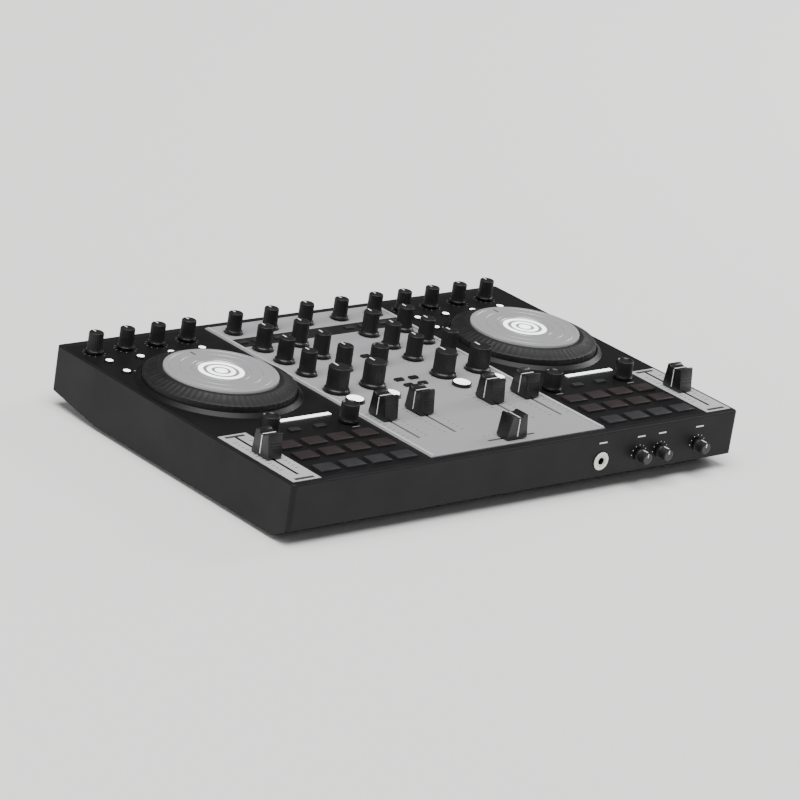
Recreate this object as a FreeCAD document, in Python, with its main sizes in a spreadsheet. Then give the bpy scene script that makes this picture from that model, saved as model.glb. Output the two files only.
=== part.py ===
import FreeCAD, Part
import os
import Sketcher

# A four-channel mixing controller: two deck sections with jog wheels, pads and
# tempo faders, and a mixer section between them. Millimetres, +Z up, +X to the
# operator's right, -Y towards the operator. The origin is at the middle of the
# object's outline, on the surface that the feet stand on.

document = FreeCAD.newDocument("Controller")
sheet = document.addObject("Spreadsheet::Sheet", "Dimensions")

dimensions = {
    # case
    "case_width": 500.0,
    "case_depth": 327.0,
    "case_height": 50.0,
    "wall": 3.0,
    "wall_cut": 4.5,
    "front_slope_run": 18.0,
    "rear_slope_run": 65.0,
    "slope_rise": 10.0,
    "corner_radius": 4.0,
    "edge_radius": 1.2,
    "side_rim": 3.5,
    "front_rim": 8.0,
    "rear_rim": 9.0,
    "ledge_width": 4.0,
    "ledge_thickness": 2.0,
    "cover_thickness": 2.0,
    "cover_gap": 0.3,
    # feet and screws
    "foot_height": 4.0,
    "foot_radius": 11.0,
    "foot_inset_side": 45.0,
    "foot_inset_front": 40.0,
    "foot_inset_rear": 85.0,
    "boss_radius": 5.0,
    "boss_height": 14.0,
    "boss_inset": 7.0,
    "screw_radius": 1.5,
    "screw_gap": 0.1,
    "screw_length": 10.0,
    "screw_head_radius": 3.0,
    "screw_head_height": 1.2,
    "screw_slot_width": 0.8,
    "screw_slot_depth": 0.5,
    # top panels
    "panel_thickness": 2.0,
    "panel_gap": 0.3,
    "mixer_width": 196.0,
    "plate_rise": 0.8,
    "plate_bevel": 0.6,
    # rows, measured from the front wall
    "top_row": 300.0,
    "effect_button_row": 278.0,
    "assign_row": 276.5,
    "eq_high_row": 258.0,
    "eq_mid_row": 228.0,
    "eq_low_row": 197.0,
    "filter_row": 156.0,
    "cue_clearance": 22.0,
    "cluster_row": 151.9,
    "cluster_spread": 6.5,
    "fader_row": 79.0,
    "crossfader_row": 20.0,
    "jog_row": 200.0,
    "encoder_row": 97.0,
    "pad_row_rear": 71.0,
    "pad_row_middle": 48.0,
    "pad_row_front": 21.0,
    "tempo_row": 60.0,
    "mode_row": 253.0,
    # columns
    "channel_pitch": 40.0,
    "effect_first": -58.0,
    "effect_pitch": 33.0,
    "encoder_inset": 14.75,
    "encoder_spacing": 85.0,
    "pad_inset": 13.0,
    "pad_pitch": 27.3,
    "tempo_inset": 18.5,
    # rotary controls
    "knob_height": 18.6,
    "knob_skirt_radius": 7.6,
    "knob_skirt_height": 3.0,
    "knob_top_radius": 6.5,
    "eq_height": 21.5,
    "eq_skirt_radius": 8.6,
    "eq_top_radius": 7.2,
    "filter_height": 22.0,
    "filter_skirt_radius": 11.0,
    "filter_top_radius": 9.6,
    "encoder_height": 16.5,
    "encoder_skirt_radius": 8.6,
    "encoder_top_radius": 7.9,
    "knob_lift": 0.6,
    "shaft_radius": 3.0,
    "shaft_depth": 12.0,
    "shaft_gap": 0.3,
    "pointer_width": 1.0,
    "pointer_depth": 0.5,
    "pot_width": 11.0,
    "pot_height": 11.0,
    "pot_clearance": 1.0,
    "board_thickness": 1.6,
    "board_inset": 10.0,
    # faders
    "cap_width": 14.5,
    "cap_length": 22.0,
    "cap_top_length": 17.0,
    "cap_height": 21.0,
    "cap_dip": 2.0,
    "cap_lift": 1.0,
    "stem_width": 1.6,
    "stem_length": 6.0,
    "slot_gap": 0.5,
    "channel_travel": 60.0,
    "channel_rest": 15.0,
    "crossfader_travel": 45.0,
    "tempo_travel": 70.0,
    "fader_body_width": 8.0,
    "fader_body_margin": 4.0,
    # jog wheels
    "jog_radius": 66.0,
    "jog_lift": 0.6,
    "jog_edge_height": 8.0,
    "jog_shoulder_height": 13.0,
    "jog_shoulder_radius": 53.0,
    "jog_height": 15.0,
    "platter_radius": 49.5,
    "platter_thickness": 5.0,
    "platter_gap": 0.3,
    "spindle_radius": 10.0,
    "spindle_depth": 8.0,
    "collar_radius": 72.0,
    "collar_gap": 0.6,
    "collar_height": 3.0,
    # buttons
    "pad_width": 20.0,
    "pad_length": 14.0,
    "pad_height": 2.0,
    "small_width": 11.0,
    "small_length": 6.0,
    "small_height": 1.6,
    "assign_width": 9.0,
    "assign_length": 5.0,
    "assign_offset": 8.0,
    "round_radius": 4.2,
    "cue_radius": 8.5,
    "cue_height": 3.0,
    "button_gap": 0.35,
    "flange_width": 1.0,
    "flange_height": 1.0,
    "flange_gap": 0.3,
    # front controls and sockets
    "front_knob_reach": 12.0,
    "front_knob_radius": 6.0,
    "front_knob_top_radius": 5.4,
    "front_knob_lift": 0.6,
    "front_row_height": 24.5,
    "front_knob_first": 135.0,
    "front_knob_second": 160.0,
    "front_knob_third": 205.0,
    "phones_column": 90.0,
    "jack_bore_radius": 3.25,
    "jack_radius": 6.0,
    "jack_flange_radius": 8.2,
    "jack_flange_height": 0.9,
    "jack_length": 24.0,
    "socket_gap": 0.1,
    "rear_row_gap": 1.4,
    "rca_reach": 9.0,
    "rca_radius": 4.15,
    "rca_base_radius": 5.6,
    "rca_bore_radius": 1.7,
    "rca_pair_pitch": 14.0,
    "rca_bore_depth": 12.0,
    "usb_width": 12.0,
    "usb_height": 11.0,
    "usb_opening_width": 8.6,
    "usb_opening_height": 7.8,
    "usb_depth": 14.0,
    "power_bore_radius": 2.8,
    "power_pin_radius": 1.0,
}

for number, (name, value) in enumerate(dimensions.items(), start=1):
    sheet.set(f"A{number}", name)
    sheet.set(f"B{number}", str(value))
    sheet.setAlias(f"B{number}", name)
document.recompute()


class Length:
    # A length that keeps its number and its formula in the sheet together.
    def __init__(self, value, formula):
        self.value = value
        self.formula = formula

    def __add__(self, other):
        other = as_length(other)
        return Length(self.value + other.value, f"({self.formula} + {other.formula})")

    def __sub__(self, other):
        other = as_length(other)
        return Length(self.value - other.value, f"({self.formula} - {other.formula})")

    def __mul__(self, factor):
        return Length(self.value * factor, f"({self.formula} * {factor})")

    def __truediv__(self, factor):
        return Length(self.value / factor, f"({self.formula} / {factor})")

    def __neg__(self):
        return self * -1


def as_length(item):
    if isinstance(item, Length):
        return item
    return Length(float(item), str(float(item)))


def size(name):
    return Length(sheet.get(name), f"Dimensions.{name}")


zero = as_length(0)
case_top = size("case_height")
panel_bottom = case_top - size("panel_thickness")
plate_top = case_top + size("plate_rise")
board_top = panel_bottom - size("pot_height") - size("pot_clearance")
cue_row = size("fader_row") + size("channel_travel") / 2 + size("cue_clearance")
rear_row = board_top - size("board_thickness") - size("jack_radius") - size("rear_row_gap")
middle_depth = (size("case_depth") + size("rca_reach") - size("front_knob_reach")) / 2
panel_half = size("case_width") / 2 - size("side_rim")
deck_centre = (size("mixer_width") / 2 + panel_half) / 2
cover_front = size("front_slope_run")
cover_rear = size("case_depth") - size("rear_slope_run")

bodies = []
pockets = []


# Places and features

def place(body, across, along, up, turn_axis=(0, 0, 1), turn=0.0):
    # Across, along and up are measured from the front wall's foot at mid-width.
    body.Placement = FreeCAD.Placement(
        FreeCAD.Vector(0, 0, 0), FreeCAD.Rotation(FreeCAD.Vector(*turn_axis), turn))
    body.setExpression("Placement.Base.x", as_length(across).formula)
    body.setExpression("Placement.Base.y", (as_length(along) - middle_depth).formula)
    body.setExpression("Placement.Base.z", (as_length(up) + size("foot_height")).formula)


def new_body(label):
    body = document.addObject("PartDesign::Body", label)
    body.Label = label
    bodies.append(body)
    return body


def new_sketch(body, plane, height=zero, across=zero):
    # Height is the distance along the plane's own normal.
    sketch = body.newObject("Sketcher::SketchObject", body.Label + "_sketch")
    role = [item for item in body.Origin.OriginFeatures if item.Role == plane][0]
    sketch.AttachmentSupport = [(role, "")]
    sketch.MapMode = "FlatFace"
    sketch.setExpression("AttachmentOffset.Base.z", as_length(height).formula)
    sketch.setExpression("AttachmentOffset.Base.x", as_length(across).formula)
    return sketch


def bind(sketch, constraints, lengths):
    # Adds the constraints together and ties each one to its length.
    indices = sketch.addConstraint(constraints)
    for index, length in zip(indices, lengths):
        sketch.setExpression(f"Constraints[{index}]", length.formula)


def draw_circle(sketch, across, along, radius):
    across = as_length(across)
    along = as_length(along)
    radius = as_length(radius)
    centre = FreeCAD.Vector(across.value, along.value, 0)
    circle = sketch.addGeometry(Part.Circle(centre, FreeCAD.Vector(0, 0, 1), radius.value))
    constraints = [Sketcher.Constraint("DistanceX", -1, 1, circle, 3, across.value),
                   Sketcher.Constraint("DistanceY", -1, 1, circle, 3, along.value),
                   Sketcher.Constraint("Radius", circle, radius.value)]
    bind(sketch, constraints, [across, along, radius])


def draw_outline(sketch, points):
    points = [(as_length(across), as_length(along)) for across, along in points]
    corners = [FreeCAD.Vector(across.value, along.value, 0) for across, along in points]
    following = corners[1:] + corners[:1]
    lines = sketch.addGeometry([Part.LineSegment(start, end) for start, end in zip(corners, following)])
    sketch.addConstraint([Sketcher.Constraint("Coincident", line, 2, after, 1)
                          for line, after in zip(lines, lines[1:] + lines[:1])])
    constraints = []
    for line, (across, along) in zip(lines, points):
        constraints.append(Sketcher.Constraint("DistanceX", -1, 1, line, 1, across.value))
        constraints.append(Sketcher.Constraint("DistanceY", -1, 1, line, 1, along.value))
    bind(sketch, constraints, [length for point in points for length in point])


def draw_rectangle(sketch, across, along, width, length):
    across = as_length(across)
    along = as_length(along)
    left = across - as_length(width) / 2
    right = across + as_length(width) / 2
    near = along - as_length(length) / 2
    far = along + as_length(length) / 2
    draw_outline(sketch, [(left, near), (right, near), (right, far), (left, far)])


def feature(body, kind, sketch, length, reverse=False, symmetric=False):
    item = body.newObject(f"PartDesign::{kind}", f"{body.Label}_{kind}")
    item.Profile = sketch
    item.Reversed = reverse
    if symmetric:
        item.SideType = "Symmetric"
    item.setExpression("Length", as_length(length).formula)
    return item


def pad(body, sketch, length, **options):
    return feature(body, "Pad", sketch, length, **options)


def pocket(body, sketch, length, **options):
    item = feature(body, "Pocket", sketch, length, **options)
    pockets.append(item)
    return item


def revolve(body, sketch):
    item = body.newObject("PartDesign::Revolution", body.Label + "_Revolution")
    item.Profile = sketch
    item.ReferenceAxis = (sketch, ["V_Axis"])
    item.Angle = 360.0
    return item


def round_edges(body, base, kind, radius, chosen):
    # Rounds or bevels those edges of the base that the test picks.
    document.recompute()
    names = [f"Edge{number}" for number, edge in enumerate(base.Shape.Edges, start=1) if chosen(edge)]
    item = body.newObject(f"PartDesign::{kind}", f"{body.Label}_{kind}")
    item.Base = (base, names)
    value = "Radius" if kind == "Fillet" else "Size"
    item.setExpression(value, radius.formula)
    return item


def same(first, second):
    return abs(first - second) < 1e-5


# Layout

deck_sides = {"left": -1, "right": 1}
channels = {"c": -2, "a": -1, "b": 1, "d": 2}
effect_numbers = [1, 2, 3, 4]
# Shares of a top's radius or half length that its groove or dip takes.
pointer_middle = 0.6
pointer_reach = 0.8
marker_middle = 0.8
marker_reach = 0.2
dip_share = 0.6
pad_columns = [-1.5, -0.5, 0.5, 1.5]
inner_columns = [-0.5, 0.5]


def channel_x(channel):
    return size("channel_pitch") * channels[channel]


def deck_x(side):
    return deck_centre * deck_sides[side]


def effect_x(side, number):
    return deck_x(side) + size("effect_first") + size("effect_pitch") * (number - 1)


def pad_x(side, column):
    return deck_x(side) - size("pad_inset") * deck_sides[side] + size("pad_pitch") * column


def encoder_x(side, place_number):
    middle = deck_x(side) - size("encoder_inset") * deck_sides[side]
    return middle + size("encoder_spacing") * (place_number - 0.5)


def tempo_x(side):
    return (size("case_width") / 2 - size("tempo_inset")) * deck_sides[side]


standard_knob = ("knob_height", "knob_skirt_radius", "knob_top_radius")
eq_knob = ("eq_height", "eq_skirt_radius", "eq_top_radius")
filter_knob = ("filter_height", "filter_skirt_radius", "filter_top_radius")
encoder_knob = ("encoder_height", "encoder_skirt_radius", "encoder_top_radius")


def list_deck_knobs(side):
    knobs = []
    for number in effect_numbers:
        knobs.append((f"fx_knob_{side}_{number}", effect_x(side, number), size("top_row"), standard_knob))
    for name, place_number in (("loop_move", 0), ("loop_size", 1)):
        knobs.append((f"{name}_knob_{side}", encoder_x(side, place_number), size("encoder_row"),
                      encoder_knob))
    return knobs


def list_mixer_knobs():
    knobs = [("main_level_knob", zero, size("top_row"), standard_knob)]
    knobs.append(("browse_knob", zero, size("eq_low_row"), encoder_knob))
    for channel in channels:
        across = channel_x(channel)
        knobs.append((f"gain_knob_{channel}", across, size("top_row"), standard_knob))
        for band in ("high", "mid", "low"):
            knobs.append((f"eq_{band}_knob_{channel}", across, size(f"eq_{band}_row"), eq_knob))
        knobs.append((f"filter_knob_{channel}", across, size("filter_row"), filter_knob))
    return knobs


def list_deck_buttons(side):
    # Each button: across, along, kind.
    buttons = []
    for column in pad_columns:
        for row in ("rear", "middle", "front"):
            buttons.append((pad_x(side, column), size(f"pad_row_{row}"), "pad"))
    for column in inner_columns:
        buttons.append((pad_x(side, column), size("encoder_row"), "small"))
    for number in effect_numbers:
        buttons.append((effect_x(side, number), size("effect_button_row"), "round"))
    buttons.append((effect_x(side, 1), size("mode_row"), "round"))
    return buttons


def list_mixer_buttons():
    buttons = []
    for channel in channels:
        across = channel_x(channel)
        buttons.append((across, cue_row, "cue"))
        for step in (-1, 1):
            buttons.append((across + size("assign_offset") * step, size("assign_row"), "assign"))
    for step in (-1, 1):
        for row in (-1, 1):
            along = size("cluster_row") + size("cluster_spread") * row
            buttons.append((size("assign_offset") * step, along, "assign"))
    buttons.append((zero, size("eq_low_row") + size("encoder_skirt_radius") * 2, "assign"))
    return buttons


def list_faders():
    # Each fader: name, across, along, travel, turned across the panel or not.
    faders = []
    for channel in channels:
        faders.append((f"channel_fader_{channel}", channel_x(channel), size("fader_row"),
                       size("channel_travel"), False))
    faders.append(("crossfader", zero, size("crossfader_row"), size("crossfader_travel"), True))
    for side in deck_sides:
        faders.append((f"tempo_fader_{side}", tempo_x(side), size("tempo_row"),
                       size("tempo_travel"), False))
    return faders


deck_knobs = {side: list_deck_knobs(side) for side in deck_sides}
deck_buttons = {side: list_deck_buttons(side) for side in deck_sides}
mixer_knobs = list_mixer_knobs()
mixer_buttons = list_mixer_buttons()
faders = list_faders()
mixer_faders = faders[:5]
deck_faders = {"left": [faders[5]], "right": [faders[6]]}
front_knobs = ["mic_level_knob", "cue_mix_knob", "phones_level_knob"]
front_columns = ["front_knob_first", "front_knob_second", "front_knob_third"]
rear_rca_columns = [-205.0, -165.0, -125.0, -85.0, 105.0]
rear_jack_columns = [45.0, 70.0]
usb_column = 160.0
power_column = 205.0
button_sizes = {
    "pad": ("pad_width", "pad_length", "pad_height"),
    "small": ("small_width", "small_length", "small_height"),
    "assign": ("assign_width", "assign_length", "small_height"),
    "round": ("round_radius", None, "small_height"),
    "cue": ("cue_radius", None, "cue_height"),
}


# Case

def make_upper_case():
    body = new_body("upper_case")
    place(body, 0, 0, 0)
    depth = size("case_depth")
    wall = size("wall")
    rise = size("slope_rise")
    outer = new_sketch(body, "YZ_Plane")
    draw_outline(outer, [(zero, rise), (cover_front, zero), (cover_rear, zero),
                         (depth, rise), (depth, case_top), (zero, case_top)])
    block = pad(body, outer, size("case_width"), symmetric=True)
    corners = round_edges(body, block, "Fillet", size("corner_radius"),
                          lambda edge: same(edge.BoundBox.XLength, 0) and same(edge.BoundBox.YLength, 0))
    round_edges(body, corners, "Fillet", size("edge_radius"),
                lambda edge: same(edge.BoundBox.ZMin, case_top.value) and same(edge.BoundBox.ZLength, 0))
    ceiling = panel_bottom - size("ledge_thickness")
    inner = new_sketch(body, "YZ_Plane")
    draw_outline(inner, [(wall, rise + wall), (cover_front, wall), (cover_rear, wall),
                         (depth - wall, rise + wall), (depth - wall, ceiling), (wall, ceiling)])
    pocket(body, inner, size("case_width") - wall * 2, symmetric=True)
    bottom = new_sketch(body, "XY_Plane")
    draw_rectangle(bottom, zero, (cover_front + cover_rear) / 2,
                   size("case_width") - wall * 2, cover_rear - cover_front)
    pocket(body, bottom, wall, reverse=True)
    # The recess that the three panels lie in, and the opening inside its ledge.
    near = size("front_rim")
    far = depth - size("rear_rim")
    recess = new_sketch(body, "XY_Plane", panel_bottom)
    draw_rectangle(recess, zero, (near + far) / 2, panel_half * 2, far - near)
    pocket(body, recess, size("panel_thickness"), reverse=True)
    opening = new_sketch(body, "XY_Plane", ceiling)
    ledge = size("ledge_width")
    draw_rectangle(opening, zero, (near + far) / 2, (panel_half - ledge) * 2, far - near - ledge * 2)
    pocket(body, opening, size("ledge_thickness"), reverse=True)
    make_bosses(body)
    cut_front_holes(body)
    cut_rear_holes(body)


def boss_places():
    across = size("case_width") / 2 - size("boss_inset")
    near = cover_front + size("boss_inset") * 2
    far = cover_rear - size("boss_inset") * 2
    return [(across * step, along) for step in (-1, 1) for along in (near, (near + far) / 2, far)]


def make_bosses(body):
    bosses = new_sketch(body, "XY_Plane", size("cover_thickness"))
    for across, along in boss_places():
        draw_circle(bosses, across, along, size("boss_radius"))
    pad(body, bosses, size("boss_height"))
    holes = new_sketch(body, "XY_Plane", size("cover_thickness"))
    for across, along in boss_places():
        draw_circle(holes, across, along, size("screw_radius") + size("screw_gap"))
    pocket(body, holes, size("boss_height") - size("wall") / 2, reverse=True)


def cut_front_holes(body):
    holes = new_sketch(body, "XZ_Plane")
    height = size("front_row_height")
    for column in front_columns:
        draw_circle(holes, size(column), height, size("shaft_radius") + size("shaft_gap"))
    draw_circle(holes, size("phones_column"), height, size("jack_radius") + size("socket_gap"))
    pocket(body, holes, size("wall_cut"))


def rca_columns():
    half = size("rca_pair_pitch") / 2
    return [as_length(column) + half * step for column in rear_rca_columns for step in (-1, 1)]


def cut_rear_holes(body):
    holes = new_sketch(body, "XZ_Plane", -size("case_depth"))
    height = rear_row
    for across in rca_columns():
        draw_circle(holes, across, height, size("rca_base_radius") + size("socket_gap"))
    for column in rear_jack_columns + [power_column]:
        draw_circle(holes, column, height, size("jack_radius") + size("socket_gap"))
    draw_rectangle(holes, usb_column, height, size("usb_width") + size("socket_gap") * 2,
                   size("usb_height") + size("socket_gap") * 2)
    pocket(body, holes, size("wall_cut"), reverse=True)


def make_bottom_cover():
    body = new_body("bottom_cover")
    place(body, 0, 0, 0)
    gap = size("cover_gap")
    outline = new_sketch(body, "XY_Plane")
    draw_rectangle(outline, zero, (cover_front + cover_rear) / 2,
                   (size("case_width") / 2 - size("wall") - gap) * 2, cover_rear - cover_front - gap * 2)
    for across, along in boss_places():
        draw_circle(outline, across, along, size("screw_radius") + size("screw_gap"))
    pad(body, outline, size("cover_thickness"))
    seats = new_sketch(body, "XY_Plane")
    for across, along in boss_places():
        draw_circle(seats, across, along, size("screw_head_radius") + size("screw_gap"))
    pocket(body, seats, size("screw_head_height"), reverse=True)


def make_screws():
    body = new_body("case_screws")
    place(body, 0, 0, 0)
    heads = new_sketch(body, "XY_Plane")
    for across, along in boss_places():
        draw_circle(heads, across, along, size("screw_head_radius"))
    pad(body, heads, size("screw_head_height"))
    shanks = new_sketch(body, "XY_Plane", size("screw_head_height"))
    for across, along in boss_places():
        draw_circle(shanks, across, along, size("screw_radius"))
    pad(body, shanks, size("screw_length"))
    for along_screw in (False, True):
        slots = new_sketch(body, "XY_Plane")
        for across, along in boss_places():
            length = size("screw_head_radius")
            width = size("screw_slot_width")
            draw_rectangle(slots, across, along, *((width, length) if along_screw else (length, width)))
        pocket(body, slots, size("screw_slot_depth"), reverse=True)


def make_feet():
    body = new_body("rubber_feet")
    place(body, 0, 0, 0)
    feet = new_sketch(body, "XY_Plane", -size("foot_height"))
    across = size("case_width") / 2 - size("foot_inset_side")
    for step in (-1, 1):
        draw_circle(feet, across * step, size("foot_inset_front"), size("foot_radius"))
        draw_circle(feet, across * step, size("case_depth") - size("foot_inset_rear"), size("foot_radius"))
    pad(body, feet, size("foot_height"))


# Panels

def draw_button(sketch, across, along, kind, extra):
    width, length, height = button_sizes[kind]
    if length is None:
        draw_circle(sketch, across, along, size(width) + extra)
        return
    draw_rectangle(sketch, across, along, size(width) + extra * 2, size(length) + extra * 2)


def draw_panel_holes(sketch, knobs, buttons, panel_faders):
    for name, across, along, form in knobs:
        draw_circle(sketch, across, along, size("shaft_radius") + size("shaft_gap"))
    for across, along, kind in buttons:
        draw_button(sketch, across, along, kind, size("button_gap"))
    for name, across, along, travel, turned in panel_faders:
        draw_slot(sketch, across, along, travel, turned)


def draw_slot(sketch, across, along, travel, turned):
    length = travel + size("stem_length") + size("slot_gap") * 2
    width = size("stem_width") + size("slot_gap") * 2
    draw_rectangle(sketch, across, along, *((length, width) if turned else (width, length)))


def make_deck_panel(side):
    body = new_body(f"{side}_deck_panel")
    place(body, 0, 0, 0)
    gap = size("panel_gap")
    inner_edge = size("mixer_width") / 2 + gap / 2
    outer_edge = panel_half - gap
    near = size("front_rim") + gap
    far = size("case_depth") - size("rear_rim") - gap
    outline = new_sketch(body, "XY_Plane", panel_bottom)
    draw_rectangle(outline, (inner_edge + outer_edge) / 2 * deck_sides[side], (near + far) / 2,
                   outer_edge - inner_edge, far - near)
    draw_circle(outline, deck_x(side), size("jog_row"), size("spindle_radius") + size("shaft_gap"))
    draw_panel_holes(outline, deck_knobs[side], deck_buttons[side], deck_faders[side])
    pad(body, outline, size("panel_thickness"))
    collar = new_sketch(body, "XZ_Plane", -size("jog_row"), deck_x(side))
    inside = size("jog_radius") + size("collar_gap")
    outside = size("collar_radius")
    root = panel_bottom + size("panel_thickness") / 2
    crest = case_top + size("collar_height")
    draw_outline(collar, [(inside, root), (outside, root), (outside, case_top),
                          (inside + size("wall") / 2, crest), (inside, crest)])
    revolve(body, collar)


def make_mixer_faceplate():
    body = new_body("mixer_faceplate")
    place(body, 0, 0, 0)
    gap = size("panel_gap")
    near = size("front_rim") + gap
    far = size("case_depth") - size("rear_rim") - gap
    outline = new_sketch(body, "XY_Plane", panel_bottom)
    draw_rectangle(outline, zero, (near + far) / 2, size("mixer_width") - gap, far - near)
    draw_panel_holes(outline, mixer_knobs, mixer_buttons, mixer_faders)
    plate = pad(body, outline, plate_top - panel_bottom)
    edge_x = (size("mixer_width") - gap) / 2
    round_edges(body, plate, "Chamfer", size("plate_bevel"),
                lambda edge: same(edge.BoundBox.ZMin, plate_top.value) and same(edge.BoundBox.XLength, 0)
                and same(abs(edge.BoundBox.XMin), edge_x.value))


def make_circuit_boards():
    body = new_body("circuit_boards")
    place(body, 0, 0, 0)
    inset = size("board_inset")
    near = size("front_rim") + inset
    far = size("case_depth") - size("rear_rim") - inset
    length = far - near
    mixer_half = size("mixer_width") / 2
    board = new_sketch(body, "XY_Plane", board_top - size("board_thickness"))
    draw_rectangle(board, zero, (near + far) / 2, mixer_half * 2 - inset, length)
    for side in deck_sides:
        width = panel_half - mixer_half - inset
        draw_rectangle(board, deck_x(side), (near + far) / 2, width, length)
    pad(body, board, size("board_thickness"))
    all_knobs = mixer_knobs + deck_knobs["left"] + deck_knobs["right"]
    for row in sorted({along.formula for name, across, along, form in all_knobs}):
        pots = new_sketch(body, "XY_Plane", board_top)
        for name, across, along, form in all_knobs:
            if along.formula == row:
                draw_rectangle(pots, across, along, size("pot_width"), size("pot_width"))
                draw_circle(pots, across, along, size("shaft_radius") + size("shaft_gap"))
        pad(body, pots, size("pot_height"))
    channels_under = new_sketch(body, "XY_Plane", board_top)
    for name, across, along, travel, turned in faders:
        long_side = travel + size("stem_length") + size("fader_body_margin") * 2
        wide_side = size("fader_body_width")
        draw_rectangle(channels_under, across, along,
                       *((long_side, wide_side) if turned else (wide_side, long_side)))
        draw_slot(channels_under, across, along, travel, turned)
    pad(body, channels_under, size("pot_height"))
    front_pots = new_sketch(body, "XZ_Plane", -size("wall"))
    height = size("front_row_height")
    for column in front_columns:
        draw_rectangle(front_pots, size(column), height, size("pot_width"), size("pot_width"))
        draw_circle(front_pots, size(column), height, size("shaft_radius") + size("shaft_gap"))
    pad(body, front_pots, size("pot_height"), reverse=True)


# Rotary controls

def make_knob(label, form, height_length=None):
    # A skirted knob on its shaft, with a pointer groove across its top.
    height_name, skirt_name, top_name = form
    height = height_length or size(height_name)
    skirt = size(skirt_name)
    top = size(top_name)
    body = new_body(label)
    profile = new_sketch(body, "XZ_Plane")
    shaft = size("shaft_radius")
    low = -size("shaft_depth")
    bevel = size("pointer_depth")
    draw_outline(profile, [(zero, low), (shaft, low), (shaft, zero), (skirt, zero),
                           (skirt, size("knob_skirt_height") - bevel),
                           (top, size("knob_skirt_height")), (top, height - bevel),
                           (top - bevel, height), (zero, height)])
    revolve(body, profile)
    pointer = new_sketch(body, "XY_Plane", height - size("pointer_depth"))
    draw_rectangle(pointer, zero, top * pointer_middle, size("pointer_width"),
                   top * pointer_reach + size("pointer_width"))
    pocket(body, pointer, size("pointer_depth") * 2, reverse=True)
    return body


def make_top_knobs():
    for name, across, along, form in mixer_knobs:
        body = make_knob(name, form)
        place(body, across, along, plate_top + size("knob_lift"))
    for side in deck_sides:
        for name, across, along, form in deck_knobs[side]:
            body = make_knob(name, form)
            place(body, across, along, case_top + size("knob_lift"))


def make_front_knobs():
    form = ("front_knob_reach", "front_knob_radius", "front_knob_top_radius")
    height = size("front_knob_reach") - size("front_knob_lift")
    for label, column in zip(front_knobs, front_columns):
        body = make_knob(label, form, height)
        place(body, size(column), -size("front_knob_lift"), size("front_row_height"), (1, 0, 0), 90.0)


# Faders

def make_fader(label, across, along, turned):
    body = new_body(label)
    half = size("cap_length") / 2
    half_top = size("cap_top_length") / 2
    height = size("cap_height")
    dip_edge = half_top * dip_share
    profile = new_sketch(body, "YZ_Plane")
    draw_outline(profile, [(-half, zero), (half, zero), (half_top, height), (dip_edge, height),
                           (zero, height - size("cap_dip")), (-dip_edge, height), (-half_top, height)])
    cap = pad(body, profile, size("cap_width"), symmetric=True)
    round_edges(body, cap, "Chamfer", size("pointer_depth"),
                lambda edge: same(abs(edge.BoundBox.XMin), size("cap_width").value / 2)
                and same(edge.BoundBox.XLength, 0) and edge.BoundBox.ZMin > size("cap_dip").value)
    stem = new_sketch(body, "XY_Plane", -size("shaft_depth"))
    draw_rectangle(stem, zero, zero, size("stem_width"), size("stem_length"))
    pad(body, stem, size("shaft_depth") + size("cap_dip"))
    surface = case_top if label.startswith("tempo") else plate_top
    place(body, across, along, surface + size("cap_lift"), (0, 0, 1), 90.0 if turned else 0.0)


def make_faders():
    for name, across, along, travel, turned in faders:
        if name.startswith("channel"):
            along = along + size("channel_rest")
        make_fader(name, across, along, turned)


# Jog wheels

def make_jog(side):
    rim = new_body(f"jog_rim_{side}")
    floor = size("jog_lift")
    seat = size("jog_height") - size("platter_thickness")
    recess = size("platter_radius") + size("platter_gap")
    profile = new_sketch(rim, "XZ_Plane")
    draw_outline(profile, [(zero, -size("spindle_depth")), (size("spindle_radius"), -size("spindle_depth")),
                           (size("spindle_radius"), floor), (size("jog_radius"), floor),
                           (size("jog_radius"), size("jog_edge_height")),
                           (size("jog_shoulder_radius"), size("jog_shoulder_height")),
                           (recess, size("jog_shoulder_height")), (recess, seat), (zero, seat)])
    revolve(rim, profile)
    place(rim, deck_x(side), size("jog_row"), case_top)
    platter = new_body(f"jog_platter_{side}")
    disc = new_sketch(platter, "XZ_Plane")
    bevel = size("pointer_depth")
    draw_outline(disc, [(zero, seat), (size("platter_radius"), seat),
                        (size("platter_radius"), size("jog_height") - bevel),
                        (size("platter_radius") - bevel, size("jog_height")), (zero, size("jog_height"))])
    revolve(platter, disc)
    marker = new_sketch(platter, "XY_Plane", size("jog_height") - bevel)
    draw_rectangle(marker, zero, size("platter_radius") * marker_middle, size("pointer_width") * 2,
                   size("platter_radius") * marker_reach)
    pocket(platter, marker, bevel, reverse=True)
    place(platter, deck_x(side), size("jog_row"), case_top)


# Buttons

def make_buttons(label, buttons, surface):
    # The caps stand out of the panel, and a flange under the panel holds each one.
    body = new_body(label)
    place(body, 0, 0, 0)
    flange_top = panel_bottom - size("flange_gap")
    flanges = new_sketch(body, "XY_Plane", flange_top - size("flange_height"))
    for across, along, kind in buttons:
        draw_button(flanges, across, along, kind, size("flange_width"))
    pad(body, flanges, size("flange_height"))
    heights = sorted({button_sizes[kind][2] for across, along, kind in buttons})
    for height_name in heights:
        caps = new_sketch(body, "XY_Plane", flange_top)
        for across, along, kind in buttons:
            if button_sizes[kind][2] == height_name:
                draw_button(caps, across, along, kind, zero)
        pad(body, caps, surface + size(height_name) - flange_top)


# Sockets

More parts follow.
